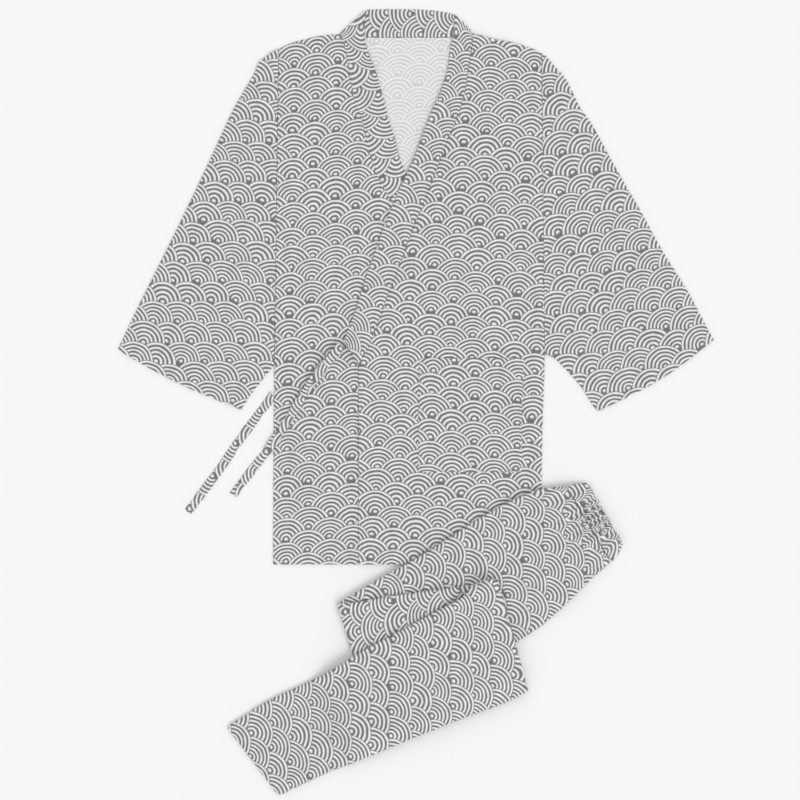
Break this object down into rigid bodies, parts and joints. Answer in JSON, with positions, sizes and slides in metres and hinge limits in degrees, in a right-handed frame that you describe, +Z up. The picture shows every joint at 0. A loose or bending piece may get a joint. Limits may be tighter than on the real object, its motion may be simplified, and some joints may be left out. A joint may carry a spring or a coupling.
{
  "type": "jinbei set laid flat, jacket with folded trousers",
  "caption": "Wrap jacket with wide open sleeves, collar band, ties and patch pocket, laid flat, with elastic-waist trousers folded over its hem.",
  "frame": {"origin": "on the surface below the centre of the whole set's bounding box", "axes": "+Z up from the surface the set lies on, +Y from the trouser cuffs towards the jacket's collar, +X towards the wearer's left sleeve"},
  "size_m": [0.8338, 1.1004, 0.0242],
  "materials": {
    "printed_cotton": "matt plain-weave cotton, printed with grey wave scales on white",
    "printed_cotton_band": "the same printed cotton sewn double and pressed flat"
  },
  "bodies": {
    "root": {"jacket_back": "printed_cotton", "jacket_right_front": "printed_cotton", "jacket_left_front": "printed_cotton", "jacket_right_sleeve": "printed_cotton", "jacket_left_sleeve": "printed_cotton", "jacket_collar_band": "printed_cotton_band", "jacket_pocket": "printed_cotton", "jacket_front_tie": "printed_cotton_band", "jacket_side_tie": "printed_cotton_band", "trouser_waistband": "printed_cotton", "trouser_left_leg": "printed_cotton", "trouser_right_leg": "printed_cotton"}
  },
  "joints": []
}
